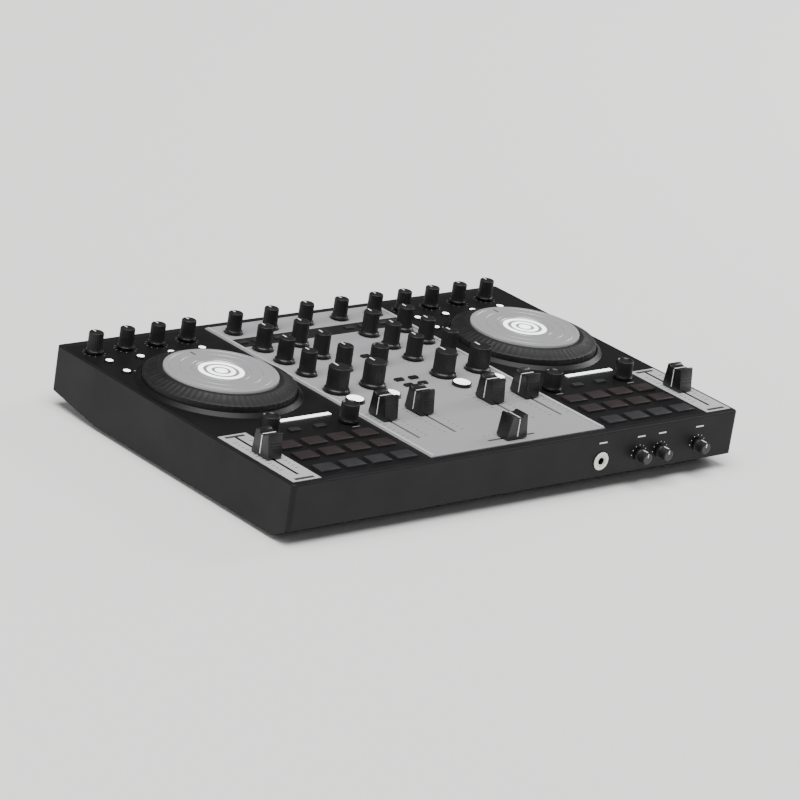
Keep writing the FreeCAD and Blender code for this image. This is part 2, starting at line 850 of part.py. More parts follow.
def make_sockets():
    # The front headphone jack, and the rear jacks, pin sockets, data and power inlets.
    body = new_body("sockets")
    place(body, 0, 0, 0)
    depth = size("case_depth")
    wall = size("wall")
    row = rear_row
    front = new_sketch(body, "XZ_Plane")
    draw_circle(front, size("phones_column"), size("front_row_height"), size("jack_radius"))
    draw_circle(front, size("phones_column"), size("front_row_height"), size("jack_bore_radius"))
    pad(body, front, size("jack_length"), reverse=True)
    flange = new_sketch(body, "XZ_Plane")
    draw_circle(flange, size("phones_column"), size("front_row_height"), size("jack_flange_radius"))
    draw_circle(flange, size("phones_column"), size("front_row_height"), size("jack_bore_radius"))
    pad(body, flange, size("jack_flange_height"))
    jacks = new_sketch(body, "XZ_Plane", -depth)
    for column in rear_jack_columns:
        draw_circle(jacks, column, row, size("jack_radius"))
        draw_circle(jacks, column, row, size("jack_bore_radius"))
    pad(body, jacks, size("jack_length"))
    bases = new_sketch(body, "XZ_Plane", -depth)
    barrels = new_sketch(body, "XZ_Plane", -depth)
    for across in rca_columns():
        draw_circle(bases, across, row, size("rca_base_radius"))
        draw_circle(barrels, across, row, size("rca_radius"))
    pad(body, bases, wall * 2)
    pad(body, barrels, size("rca_reach"), reverse=True)
    bores = new_sketch(body, "XZ_Plane", -depth - size("rca_reach"))
    for across in rca_columns():
        draw_circle(bores, across, row, size("rca_bore_radius"))
    pocket(body, bores, size("rca_bore_depth"), reverse=True)
    power = new_sketch(body, "XZ_Plane", -depth)
    draw_circle(power, power_column, row, size("jack_radius"))
    draw_circle(power, power_column, row, size("power_bore_radius"))
    pad(body, power, size("usb_depth"))
    back = new_sketch(body, "XZ_Plane", -depth + size("usb_depth"))
    draw_circle(back, power_column, row, size("jack_radius"))
    draw_rectangle(back, usb_column, row, size("usb_width"), size("usb_height"))
    pad(body, back, wall)
    data = new_sketch(body, "XZ_Plane", -depth)
    draw_rectangle(data, usb_column, row, size("usb_width"), size("usb_height"))
    draw_rectangle(data, usb_column, row, size("usb_opening_width"), size("usb_opening_height"))
    pad(body, data, size("usb_depth"))
    pin = new_sketch(body, "XZ_Plane", -depth + size("usb_depth"))
    draw_circle(pin, power_column, row, size("power_pin_radius"))
    pad(body, pin, size("usb_depth") - wall, reverse=True)


# Assembly

make_upper_case()
make_bottom_cover()
make_screws()
make_feet()
for side in deck_sides:
    make_deck_panel(side)
    make_jog(side)
    make_buttons(f"{side}_deck_buttons", deck_buttons[side], case_top)
make_mixer_faceplate()
make_buttons("mixer_buttons", mixer_buttons, plate_top)
make_circuit_boards()
make_sockets()
make_top_knobs()
make_front_knobs()
make_faders()
document.recompute()

for item in document.Objects:
    if "Invalid" in item.State or "Error" in item.State:
        raise RuntimeError(f"{item.Name} is {item.State}")
for item in pockets:
    if item.Shape.Volume >= item.BaseFeature.Shape.Volume:
        raise RuntimeError(f"{item.Name} cuts nothing")

os.makedirs("parts", exist_ok=True)
for body in bodies:
    shape = body.Shape
    if shape.isNull() or not shape.isValid():
        raise RuntimeError(f"{body.Label} has no valid shape")
    shape.exportStep(f"parts/{body.Label}.step")
    print(body.Label, len(shape.Solids), round(shape.Volume, 1))
print("nodes", len(bodies))
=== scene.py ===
import math
import bmesh
import bpy
from mathutils import Matrix, Vector


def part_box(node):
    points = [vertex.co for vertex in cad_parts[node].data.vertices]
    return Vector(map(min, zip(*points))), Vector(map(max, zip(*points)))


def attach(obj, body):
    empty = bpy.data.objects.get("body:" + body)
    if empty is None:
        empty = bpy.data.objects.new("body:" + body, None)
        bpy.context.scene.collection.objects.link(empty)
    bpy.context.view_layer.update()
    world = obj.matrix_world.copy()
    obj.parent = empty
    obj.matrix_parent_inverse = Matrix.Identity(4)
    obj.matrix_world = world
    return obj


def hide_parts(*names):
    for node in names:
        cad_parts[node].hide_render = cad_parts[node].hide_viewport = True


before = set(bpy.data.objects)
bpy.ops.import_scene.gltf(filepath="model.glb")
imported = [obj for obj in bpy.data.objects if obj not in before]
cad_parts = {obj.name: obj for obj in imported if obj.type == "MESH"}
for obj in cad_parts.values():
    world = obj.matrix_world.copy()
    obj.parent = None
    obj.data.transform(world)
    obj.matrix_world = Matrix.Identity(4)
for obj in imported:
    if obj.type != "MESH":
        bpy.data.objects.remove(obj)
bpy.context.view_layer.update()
mm = 0.001
print("frame loaded")

# places that everything else is worked out from
plateLow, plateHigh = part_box("mixer_faceplate")
caseLow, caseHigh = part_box("upper_case")
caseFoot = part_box("rubber_feet")[1].z  # underside of the case, on top of its feet
panelTop = caseHigh.z
plateTop = plateHigh.z
frontFace = caseLow.y
rearFace = caseHigh.y
sides = {"left": -1, "right": 1}
channelNames = ["c", "a", "b", "d"]


def middle(node):
    low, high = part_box(node)
    return (low + high) / 2


# ---- materials

def linear(hexColour):
    # sRGB hex to the linear values that the shader works in
    values = []
    for start in (0, 2, 4):
        part = int(hexColour[start:start + 2], 16) / 255
        values.append(part / 12.92 if part <= 0.04045 else ((part + 0.055) / 1.055) ** 2.4)
    return (values[0], values[1], values[2], 1.0)


def addNode(tree, kind, settings=None, inputs=None):
    node = tree.nodes.new(kind)
    for name, value in (settings or {}).items():
        setattr(node, name, value)
    for socket, value in (inputs or {}).items():
        if isinstance(value, bpy.types.NodeSocket):
            tree.links.new(value, node.inputs[socket])
        else:
            node.inputs[socket].default_value = value
    return node


def startMaterial(name, metallic, ior=None, sheen=0.5):
    material = bpy.data.materials.new(name)
    material.use_nodes = True
    tree = material.node_tree
    shader = tree.nodes["Principled BSDF"]
    shader.inputs["Metallic"].default_value = metallic
    shader.inputs["Specular IOR Level"].default_value = sheen
    if ior:
        shader.inputs["IOR"].default_value = ior
    return material, tree, shader


def addSurface(tree, shader, look, vector, mask=None):
    # patchy colour, uneven gloss and a fine grain, each at its own real size
    patches = addNode(tree, "ShaderNodeTexNoise", None,
                      {"Vector": vector, "Scale": 1 / (look["patch"] * mm), "Detail": 4.0})
    tint = addNode(tree, "ShaderNodeMix", {"data_type": "RGBA"},
                   {0: patches.outputs["Fac"], 6: linear(look["colour"]), 7: linear(look["second"])})
    colour = tint.outputs[2]
    if mask:
        printed = addNode(tree, "ShaderNodeMix", {"data_type": "RGBA"},
                          {0: mask, 6: colour, 7: linear(look["printed"])})
        colour = printed.outputs[2]
    tree.links.new(colour, shader.inputs["Base Color"])
    gloss = addNode(tree, "ShaderNodeMapRange", None,
                    {"Value": patches.outputs["Fac"], "From Min": 0.3, "From Max": 0.7,
                     "To Min": look["roughness"] - look["spread"],
                     "To Max": look["roughness"] + look["spread"]})
    tree.links.new(gloss.outputs["Result"], shader.inputs["Roughness"])
    grain = addNode(tree, "ShaderNodeTexNoise", None,
                    {"Vector": vector, "Scale": 1 / (look["grain"] * mm), "Detail": 2.0})
    bump = addNode(tree, "ShaderNodeBump", None,
                   {"Strength": look["bump"], "Distance": look["depth"] * mm,
                    "Height": grain.outputs["Fac"]})
    tree.links.new(bump.outputs["Normal"], shader.inputs["Normal"])
    return bump


def makeFinish(name, look):
    material, tree, shader = startMaterial(
        name, look.get("metallic", 0.0), look.get("ior"), look.get("sheen", 0.5))
    place = addNode(tree, "ShaderNodeTexCoord")
    vector = place.outputs["Object"]
    if "stretch" in look:
        drawn = addNode(tree, "ShaderNodeMapping", None, {"Vector": vector, "Scale": look["stretch"]})
        vector = drawn.outputs["Vector"]
    addSurface(tree, shader, look, vector)
    return material


# injection-moulded ABS with a spark-eroded grain: dull, slightly uneven grey-black
# (the real grain is about 0.1 mm, drawn coarser to show)
mouldedAbs = makeFinish("mouldedAbs", {
    "colour": "101012", "second": "161618", "patch": 40, "roughness": 0.52, "spread": 0.06,
    "grain": 0.9, "depth": 0.05, "bump": 0.35, "ior": 1.53, "sheen": 0.2})
# satin black lacquer over a sheet-metal deck panel: smoother than the case, soft sheen
satinLacquer = makeFinish("satinLacquer", {
    "colour": "0e0e0f", "second": "141415", "patch": 55, "roughness": 0.42, "spread": 0.05,
    "grain": 0.6, "depth": 0.02, "bump": 0.2, "ior": 1.5, "sheen": 0.2})
# soft-touch thermoplastic rubber of the knobs: deep black, no hard highlight
softRubber = makeFinish("softRubber", {
    "colour": "0f0f10", "second": "161617", "patch": 8, "roughness": 0.55, "spread": 0.08,
    "grain": 0.5, "depth": 0.03, "bump": 0.3, "ior": 1.52, "sheen": 0.35})
# polished ABS of the knob skirts and fader caps: black with a clear highlight
satinAbs = makeFinish("satinAbs", {
    "colour": "111112", "second": "171718", "patch": 12, "roughness": 0.32, "spread": 0.05,
    "grain": 0.7, "depth": 0.015, "bump": 0.2, "ior": 1.53, "sheen": 0.45})
# pad-printed white ink: flat and faintly uneven
whiteInk = makeFinish("whiteInk", {
    "colour": "f2f2ef", "second": "e2e2df", "patch": 3, "roughness": 0.5, "spread": 0.05,
    "grain": 0.4, "depth": 0.01, "bump": 0.15, "ior": 1.5})
# screen-printed grey ink on the panels
greyInk = makeFinish("greyInk", {
    "colour": "8d8d8f", "second": "7c7c7e", "patch": 3, "roughness": 0.55, "spread": 0.05,
    "grain": 0.4, "depth": 0.01, "bump": 0.15, "ior": 1.5})
# dark screen-printed ink on the light plate, also laid round the mixer knob feet as painted shade
darkInkAndPaintedShade = makeFinish("darkInkAndPaintedShade", {
    "colour": "2a2a2c", "second": "353537", "patch": 3, "roughness": 0.55, "spread": 0.05,
    "grain": 0.4, "depth": 0.01, "bump": 0.15, "ior": 1.5})
# silicone of the pads: matt, with a faint bloom
padSilicone = makeFinish("padSilicone", {
    "colour": "242426", "second": "2e2e30", "patch": 9, "roughness": 0.5, "spread": 0.07,
    "grain": 0.6, "depth": 0.03, "bump": 0.3, "ior": 1.41, "sheen": 0.35})
# the same silicone with its red lamp at rest showing through
warmSilicone = makeFinish("warmSilicone", {
    "colour": "231d1e", "second": "2d2526", "patch": 9, "roughness": 0.5, "spread": 0.07,
    "grain": 0.6, "depth": 0.03, "bump": 0.3, "ior": 1.41, "sheen": 0.35})
# nickel-plated steel of the sockets: bright, with slight handling marks
nickelPlate = makeFinish("nickelPlate", {
    "colour": "c9c5bd", "second": "b5b1aa", "patch": 5, "roughness": 0.22, "spread": 0.08,
    "grain": 0.5, "depth": 0.01, "bump": 0.2, "metallic": 1.0})
# blackened steel screws
blackenedSteel = makeFinish("blackenedSteel", {
    "colour": "3c3c3e", "second": "2c2c2e", "patch": 2, "roughness": 0.38, "spread": 0.1,
    "grain": 0.3, "depth": 0.01, "bump": 0.3, "metallic": 1.0})
# moulded rubber feet: matt and dusty
footRubber = makeFinish("footRubber", {
    "colour": "141414", "second": "1f1f1e", "patch": 6, "roughness": 0.8, "spread": 0.08,
    "grain": 0.8, "depth": 0.05, "bump": 0.5, "ior": 1.52})
# green solder-masked glass-fibre board
boardLaminate = makeFinish("boardLaminate", {
    "colour": "0f4a2c", "second": "145a37", "patch": 6, "roughness": 0.35, "spread": 0.08,
    "grain": 0.7, "depth": 0.02, "bump": 0.3, "ior": 1.55})
# red ABS collar of one pin socket in each pair
redAbs = makeFinish("redAbs", {
    "colour": "a01c1c", "second": "8c1818", "patch": 4, "roughness": 0.4, "spread": 0.05,
    "grain": 0.5, "depth": 0.01, "bump": 0.2, "ior": 1.53})
# clear-anodised aluminium strips, brushed along their length (fine lines drawn 0.5 mm apart to show)
brushedStrip = makeFinish("brushedStrip", {
    "colour": "d6d6d8", "second": "c4c4c6", "patch": 0.8, "roughness": 0.36, "spread": 0.08,
    "grain": 0.5, "depth": 0.02, "bump": 0.35, "metallic": 0.35, "stretch": (1.0, 0.03, 1.0)})


def makeFaceplate(name, look):
    # brushed plate with the dark printed band that the assign buttons sit in
    material, tree, shader = startMaterial(name, look["metallic"])
    place = addNode(tree, "ShaderNodeTexCoord")
    drawn = addNode(tree, "ShaderNodeMapping", None,
                    {"Vector": place.outputs["Object"], "Scale": (0.04, 1.0, 1.0)})
    split = addNode(tree, "ShaderNodeSeparateXYZ", None, {"Vector": place.outputs["Object"]})
    inBand = addNode(tree, "ShaderNodeMath", {"operation": "COMPARE"},
                     {0: split.outputs["Y"], 1: look["bandMiddle"], 2: look["bandHalf"]})
    inside = addNode(tree, "ShaderNodeMath", {"operation": "COMPARE"},
                     {0: split.outputs["X"], 1: 0.0, 2: look["bandReach"]})
    mask = addNode(tree, "ShaderNodeMath", {"operation": "MULTIPLY"},
                   {0: inBand.outputs[0], 1: inside.outputs[0]})
    addSurface(tree, shader, look, drawn.outputs["Vector"], mask.outputs[0])
    metal = addNode(tree, "ShaderNodeMath", {"operation": "MULTIPLY_ADD"},
                    {0: mask.outputs[0], 1: -look["metallic"], 2: look["metallic"]})
    tree.links.new(metal.outputs[0], shader.inputs["Metallic"])
    return material


assignRow = 114.5 * mm  # middle of the row of assign buttons
facePlate = makeFaceplate("brushedAluminiumPlate", {
    "colour": "b2b2b4", "second": "a4a4a6", "printed": "121213", "patch": 1.2,
    "roughness": 0.46, "spread": 0.06, "grain": 0.6, "depth": 0.02, "bump": 0.3, "metallic": 0.35,
    "bandMiddle": assignRow, "bandHalf": 9.5 * mm, "bandReach": plateHigh.x - 4 * mm})


def makeTurnedMetal(name, look, centre):
    # lathe-turned disc: rings of fine grooves about the wheel's own axis
    material, tree, shader = startMaterial(name, look["metallic"])
    place = addNode(tree, "ShaderNodeTexCoord")
    centred = addNode(tree, "ShaderNodeMapping", None,
                      {"Vector": place.outputs["Object"], "Location": (-centre.x, -centre.y, 0.0)})
    rings = addNode(tree, "ShaderNodeTexWave", {"wave_type": "RINGS", "rings_direction": "Z"},
                    {"Vector": centred.outputs["Vector"], "Scale": look["waves"] / look["groove"] / mm})
    bump = addSurface(tree, shader, look, centred.outputs["Vector"])
    turned = addNode(tree, "ShaderNodeBump", None,
                     {"Strength": look["bump"], "Distance": look["depth"] * mm,
                      "Height": rings.outputs["Fac"], "Normal": bump.outputs["Normal"]})
    tree.links.new(turned.outputs["Normal"], shader.inputs["Normal"])
    return material


# spun aluminium of the wheel tops: grooves really 0.2 mm apart, drawn 1.1 mm apart to show
turnedLook = {"colour": "b4b4b6", "second": "a6a6a8", "patch": 30, "roughness": 0.36, "spread": 0.05,
              "grain": 0.6, "depth": 0.03, "bump": 0.4, "metallic": 0.35, "groove": 1.1, "waves": 0.314}
turnedMetal = {side: makeTurnedMetal(f"spunAluminium_{side}", turnedLook, middle(f"jog_platter_{side}"))
               for side in sides}


def makeLamp(name, look):
    # frosted acrylic lit from below: bright and softly uneven
    material, tree, shader = startMaterial(name, 0.0, 1.49)
    place = addNode(tree, "ShaderNodeTexCoord")
    cloud = addNode(tree, "ShaderNodeTexNoise", None,
                    {"Vector": place.outputs["Object"], "Scale": 1 / (look["patch"] * mm)})
    tint = addNode(tree, "ShaderNodeMix", {"data_type": "RGBA"},
                   {0: cloud.outputs["Fac"], 6: linear(look["colour"]), 7: linear(look["second"])})
    tree.links.new(tint.outputs[2], shader.inputs["Base Color"])
    tree.links.new(tint.outputs[2], shader.inputs["Emission Color"])
    shader.inputs["Emission Strength"].default_value = look["strength"]
    shader.inputs["Roughness"].default_value = look["roughness"]
    return material


# lit acrylic of the real lamps; the same glowing material also gives the printed jog rings a painted glow
lampAndPaintedGlow = makeLamp("litAcrylicAndPaintedGlow", {"colour": "ffffff", "second": "eef2f6", "patch": 2.5,
                                    "strength": 2.2, "roughness": 0.3})
print("materials made")

for node, material in {
        "upper_case": mouldedAbs, "bottom_cover": mouldedAbs, "case_screws": blackenedSteel,
        "rubber_feet": footRubber, "left_deck_panel": satinLacquer, "right_deck_panel": satinLacquer,
        "mixer_faceplate": facePlate, "circuit_boards": boardLaminate, "sockets": nickelPlate}.items():
    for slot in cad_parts[node].material_slots:
        slot.material = material


# ---- mesh tools

def paint(bm, before, index):
    # gives the faces made since "before" their material
    for face in bm.faces:
        if face not in before:
            face.material_index = index


def spinProfile(bm, profile, steps, place=None, index=0):
    # profile points are (radius, height) in mm; the axis is Z
    oldFaces = set(bm.faces)
    oldVerts = set(bm.verts)
    points = [bm.verts.new((radius * mm, 0.0, height * mm)) for radius, height in profile]
    edges = [bm.edges.new(pair) for pair in zip(points, points[1:])]
    bmesh.ops.spin(bm, geom=points + edges, cent=(0, 0, 0), axis=(0, 0, 1), dvec=(0, 0, 0),
                   angle=2 * math.pi, steps=steps, use_merge=True)
    made = [vert for vert in bm.verts if vert not in oldVerts]
    bmesh.ops.remove_doubles(bm, verts=made, dist=1e-6)
    made = [vert for vert in bm.verts if vert not in oldVerts]
    if place:
        bmesh.ops.transform(bm, matrix=place, verts=made)
    paint(bm, oldFaces, index)
    return made


def addBlock(bm, centre, size, bevel=0.0, index=0, segments=2):
    # centre in metres, size and bevel in mm
    oldFaces = set(bm.faces)
    shape = Matrix.Translation(centre) @ Matrix.Diagonal((size[0] * mm, size[1] * mm, size[2] * mm, 1.0))
    made = bmesh.ops.create_cube(bm, size=1.0, matrix=shape)["verts"]
    if bevel:
        edges = list({edge for vert in made for edge in vert.link_edges})
        bmesh.ops.bevel(bm, geom=edges, offset=bevel * mm, offset_type="OFFSET", segments=segments,
                        profile=0.5, affect="EDGES", material=-1)
    paint(bm, oldFaces, index)


def finishPiece(bm, name, materials, body, nodes=()):
    bmesh.ops.recalc_face_normals(bm, faces=bm.faces)
    for face in bm.faces:
        face.smooth = True
    for edge in bm.edges:
        edge.smooth = len(edge.link_faces) == 2 and edge.calc_face_angle() < math.radians(32)
    mesh = bpy.data.meshes.new(name)
    bm.to_mesh(mesh)
    bm.free()
    for material in materials:
        mesh.materials.append(material)
    piece = bpy.data.objects.new(name, mesh)
    bpy.context.scene.collection.objects.link(piece)
    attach(piece, body)
    if nodes:
        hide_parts(*nodes)
    return piece


# ---- knobs

knobForms = {
    "standard": {"height": 18.6, "top": 6.5, "steps": 60, "pointer": 1.2},
    "equaliser": {"height": 21.5, "top": 7.2, "steps": 60, "pointer": 1.4},
    "filter": {"height": 22.0, "top": 9.6, "steps": 84, "pointer": 1.6},
    "encoder": {"height": 16.5, "top": 7.9, "steps": 72, "pointer": 0.0},
    "front": {"height": 11.4, "top": 5.4, "steps": 54, "pointer": 1.1},
}
knobLook = {"shaft": 3.0, "shaftDepth": 12.0, "skirtHeight": 3.0, "bevel": 0.5, "fluteDepth": 0.28,
            "fluteEvery": 3, "pointerRise": 0.12, "pointerShare": 0.68, "crown": 0.25, "dishRim": 1.6,
            "dishDepth": 0.9}


def makeKnob(node, form):
    low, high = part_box(node)
    look = knobForms[form]
    height = look["height"]
    top = look["top"]
    bevel = knobLook["bevel"]
    skirt = (high.x - low.x) / 2 / mm
    skirtTop = knobLook["skirtHeight"]
    shaftEnd = -knobLook["shaftDepth"]
    bm = bmesh.new()
    hub = 0.0 if look["pointer"] else top - knobLook["dishRim"]
    spinProfile(bm, [(0, shaftEnd), (knobLook["shaft"], shaftEnd), (knobLook["shaft"], 0),
                     (skirt - bevel, 0), (skirt, bevel), (skirt, skirtTop - bevel * 1.6),
                     (skirt - bevel, skirtTop - bevel), (top + bevel * 0.9, skirtTop - bevel * 0.4)],
                look["steps"], None, 1)
    grip = spinProfile(bm, [(top + bevel * 0.9, skirtTop - bevel * 0.4),
                            (top + bevel * 0.3, skirtTop + bevel),
                            (top + bevel * 0.1, height * 0.5), (top, height - bevel * 2.4),
                            (top - bevel * 0.4, height - bevel * 1.0),
                            (top - bevel * 1.4, height - bevel * 0.15)], look["steps"], None, 0)
    capProfile = [(top - bevel * 1.4, height - bevel * 0.15), (top - bevel * 2.4, height)]
    if hub:
        dish = height - knobLook["dishDepth"]
        capProfile += [(hub, height), (hub - 0.6, dish + 0.2), (0, dish)]
    else:
        capProfile += [(top * 0.5, height - knobLook["crown"] * 0.5), (0, height - knobLook["crown"])]
    spinProfile(bm, capProfile, look["steps"], None, 1)
    bmesh.ops.remove_doubles(bm, verts=bm.verts, dist=1e-6)
    # finger flutes let into the grip
    for vert in grip:
        if not vert.is_valid or not skirtTop + 0.3 < vert.co.z / mm < height - bevel * 1.2:
            continue
        column = round(math.atan2(vert.co.y, vert.co.x) / (2 * math.pi) * look["steps"])
        if column % knobLook["fluteEvery"] == 0:
            radius = math.hypot(vert.co.x, vert.co.y)
            factor = (radius - knobLook["fluteDepth"] * mm) / radius
            vert.co.x *= factor
            vert.co.y *= factor
    if look["pointer"]:
        reach = top * knobLook["pointerShare"]
        rise = knobLook["pointerRise"]
        addBlock(bm, (0, (top - bevel * 1.6 - reach / 2) * mm, (height - rise) * mm),
                 (look["pointer"], reach, rise * 2), 0.1, 2, 1)
        addBlock(bm, (0, (top - 0.05) * mm, (height + skirtTop) / 2 * mm),
                 (look["pointer"], 0.5, height - skirtTop - 2.6), 0.1, 2, 1)
    centre = (low + high) / 2
    if form == "front":
        base = high.y - knobLook["shaftDepth"] * mm
        place = Matrix.Translation((centre.x, base, centre.z)) @ Matrix.Rotation(math.pi / 2, 4, "X")
    else:
        place = Matrix.Translation((centre.x, centre.y, high.z - height * mm))
    bmesh.ops.transform(bm, matrix=place, verts=bm.verts)
    return finishPiece(bm, node + "_look", [softRubber, satinAbs, whiteInk], node, [node])


for channel in channelNames:
    makeKnob(f"gain_knob_{channel}", "standard")
    for band in ("high", "mid", "low"):
        makeKnob(f"eq_{band}_knob_{channel}", "equaliser")
    makeKnob(f"filter_knob_{channel}", "filter")
makeKnob("main_level_knob", "standard")
makeKnob("browse_knob", "encoder")
for side in sides:
    for number in range(1, 5):
        makeKnob(f"fx_knob_{side}_{number}", "standard")
    for name in ("loop_move", "loop_size"):
        makeKnob(f"{name}_knob_{side}", "encoder")
for name in ("mic_level_knob", "cue_mix_knob", "phones_level_knob"):
    makeKnob(name, "front")
print("knobs made")


# ---- faders

faderLook = {"width": 14.5, "length": 22.0, "top": 17.0, "height": 21.0, "dip": 2.0, "bevel": 0.55,
             "stemWidth": 1.6, "stemLength": 6.0, "stemDepth": 12.0, "line": 1.0,
             "ribs": 3, "ribPitch": 2.4, "ribHeight": 0.5, "foot": 2.2}


def makeFader(node, turned=False):
    low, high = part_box(node)
    centre = (low + high) / 2
    half = faderLook["length"] / 2
    top = faderLook["top"] / 2
    height = faderLook["height"]
    width = faderLook["width"]
    foot = faderLook["foot"]
    bm = bmesh.new()
    # side outline of the cap, with a finger dip across its top
    steps = 8
    dip = [(top * 0.72 * math.cos(math.pi * step / steps),
            height - faderLook["dip"] * math.sin(math.pi * step / steps)) for step in range(steps + 1)]
    outline = [(-half, 0), (half, 0), (half, foot), (top, height)] + dip + [(-top, height), (-half, foot)]
    verts = [bm.verts.new((-width / 2 * mm, along * mm, up * mm)) for along, up in outline]
    face = bm.faces.new(verts)
    grown = bmesh.ops.extrude_face_region(bm, geom=[face])
    moved = [item for item in grown["geom"] if isinstance(item, bmesh.types.BMVert)]
    bmesh.ops.translate(bm, vec=(width * mm, 0, 0), verts=moved)
    bmesh.ops.recalc_face_normals(bm, faces=bm.faces)
    sharp = [edge for edge in bm.edges if edge.calc_face_angle() > math.radians(30)]
    bmesh.ops.bevel(bm, geom=sharp, offset=faderLook["bevel"] * mm, offset_type="OFFSET", segments=3,
                    profile=0.5, affect="EDGES", material=-1)
    # ribs across both shoulders, and the white line in the dip and down both ends
    for step in (-1, 1):
        for rib in range(faderLook["ribs"]):
            up = height * 0.5 + (rib - 1) * faderLook["ribPitch"]
            along = half - (up - foot) / (height - foot) * (half - top)
            addBlock(bm, (0, step * along * mm, up * mm),
                     (width - 2.4, faderLook["ribHeight"], faderLook["ribHeight"] * 1.4), 0.15, 0, 1)
    addBlock(bm, (0, 0, (height - faderLook["dip"]) * mm),
             (width - 0.9, faderLook["line"], 0.24), 0.05, 1, 1)
    for step in (-1, 1):
        addBlock(bm, (step * (width / 2 - 0.02) * mm, 0, (height * 0.5 - 0.4) * mm),
                 (0.2, faderLook["line"], height - faderLook["dip"] - 3.0), 0.05, 1, 1)
    stemHeight = faderLook["stemDepth"] + 1.0
    addBlock(bm, (0, 0, (1.0 - stemHeight / 2) * mm),
             (faderLook["stemWidth"], faderLook["stemLength"], stemHeight), 0.2, 2, 1)
    place = Matrix.Translation((centre.x, centre.y, high.z - height * mm))
    if turned:
        place = place @ Matrix.Rotation(math.pi / 2, 4, "Z")
    bmesh.ops.transform(bm, matrix=place, verts=bm.verts)
    return finishPiece(bm, node + "_look", [satinAbs, whiteInk, nickelPlate], node, [node])


for channel in channelNames:
    makeFader(f"channel_fader_{channel}")
makeFader("crossfader", True)
for side in sides:
    makeFader(f"tempo_fader_{side}")
print("faders made")


# ---- jog wheels

jogLook = {"edge": 8.0, "shoulder": 13.0, "shoulderRadius": 53.0, "top": 15.0, "lift": 0.6,
           "spindle": 10.0, "spindleDepth": 8.0, "platter": 49.5, "platterThickness": 5.0,
           "steps": 216, "gripDepth": 0.7, "hub": 21.5, "rings": ((15.6, 19.8), (8.4, 12.4), (0.0, 5.6)),
           "grooves": (5.0, 14.0, 24.0)}


def makeJogRim(side):
    node = f"jog_rim_{side}"
    low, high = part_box(node)
    centre = (low + high) / 2
    radius = (high.x - low.x) / 2 / mm
    seat = jogLook["top"] - jogLook["platterThickness"]
    inside = jogLook["platter"] + 0.3
    bm = bmesh.new()
    made = spinProfile(bm, [(0, -jogLook["spindleDepth"]), (jogLook["spindle"], -jogLook["spindleDepth"]),
                            (jogLook["spindle"], jogLook["lift"]), (radius - 0.6, jogLook["lift"]),
                            (radius, jogLook["lift"] + 0.6), (radius, jogLook["edge"] - 1.6),
                            (radius - 0.4, jogLook["edge"] - 0.5), (radius - 1.4, jogLook["edge"]),
                            (radius - 3.0, jogLook["edge"] + 0.7),
                            (jogLook["shoulderRadius"] + 2.4, jogLook["shoulder"] - 1.0),
                            (jogLook["shoulderRadius"] + 1.2, jogLook["shoulder"] - 0.5),
                            (jogLook["shoulderRadius"], jogLook["shoulder"]),
                            (inside + 0.5, jogLook["shoulder"]), (inside, jogLook["shoulder"] - 0.5),
                            (inside, seat), (0, seat)], jogLook["steps"])
    # every third column of the slope and the edge is let in, which leaves the finger ribs proud
    for vert in made:
        flat = math.hypot(vert.co.x, vert.co.y)
        up = vert.co.z / mm
        onSlope = jogLook["shoulderRadius"] + 2.0 < flat / mm < radius - 2.0 and up > jogLook["edge"]
        onEdge = flat / mm > radius - 0.5 and 2.0 < up < jogLook["edge"]
        column = round(math.atan2(vert.co.y, vert.co.x) / (2 * math.pi) * jogLook["steps"])
        if column % 3 == 0 and (onSlope or onEdge):
            factor = (flat - jogLook["gripDepth"] * mm) / flat
            vert.co.x *= factor
            vert.co.y *= factor
            if onSlope:
                vert.co.z -= jogLook["gripDepth"] * 0.8 * mm
    bmesh.ops.transform(bm, matrix=Matrix.Translation((centre.x, centre.y, panelTop)), verts=bm.verts)
    return finishPiece(bm, node + "_look", [softRubber], f"jog_{side}", [node])


def makeJogPlatter(side):
    node = f"jog_platter_{side}"
    low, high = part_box(node)
    centre = (low + high) / 2
    radius = jogLook["platter"]
    top = jogLook["top"]
    seat = top - jogLook["platterThickness"]
    bm = bmesh.new()
    # grooves, set in from the rim, divide the disc into rings round a shallow hub
    profile = [(0, seat), (radius, seat), (radius, top - 1.2), (radius - 0.35, top - 0.35),
               (radius - 1.2, top - 0.1)]
    for inset in jogLook["grooves"]:
        groove = radius - inset
        profile += [(groove + 0.55, top - 0.1), (groove + 0.2, top - 0.55),
                    (groove - 0.2, top - 0.55), (groove - 0.55, top - 0.1)]
    profile += [(jogLook["hub"] + 0.8, top - 0.1), (jogLook["hub"], top - 0.8), (0, top - 0.8)]
    spinProfile(bm, profile, 128)
    place = Matrix.Translation((centre.x, centre.y, panelTop))
    bmesh.ops.transform(bm, matrix=place, verts=bm.verts)
    # target of rings printed in the hub, given the lamp material's glow: painted glow, as no lamp lies
    # under the print
    floor = top - 0.8
    for inner, outer in jogLook["rings"]:
        profile = [(outer, floor - 0.1), (outer, floor + 0.15), (outer - 0.2, floor + 0.25)]
        if inner:
            profile += [(inner + 0.2, floor + 0.25), (inner, floor + 0.15), (inner, floor - 0.1)]
        else:
            profile += [(0, floor + 0.3)]
        spinProfile(bm, profile, 96, place, 1)
    # position line that shows how far the wheel has turned
    addBlock(bm, Vector((centre.x, centre.y + (radius - 9.5) * mm, panelTop + (top - 0.05) * mm)),
             (1.6, 7.0, 0.1), 0.0, 2)
    return finishPiece(bm, node + "_look", [turnedMetal[side], lampAndPaintedGlow, darkInkAndPaintedShade],
                       f"jog_{side}", [node])


for side in sides:
    makeJogRim(side)
    makeJogPlatter(side)
print("jog wheels made")


# ---- buttons

buttonLook = {"padWidth": 20.0, "padLength": 14.0, "padHeight": 2.0, "smallWidth": 11.0, "smallLength": 6.0,
              "smallHeight": 1.6, "assignWidth": 9.0, "assignLength": 5.0, "roundRadius": 4.2,
              "cueRadius": 8.5, "cueHeight": 3.0, "root": 2.3}


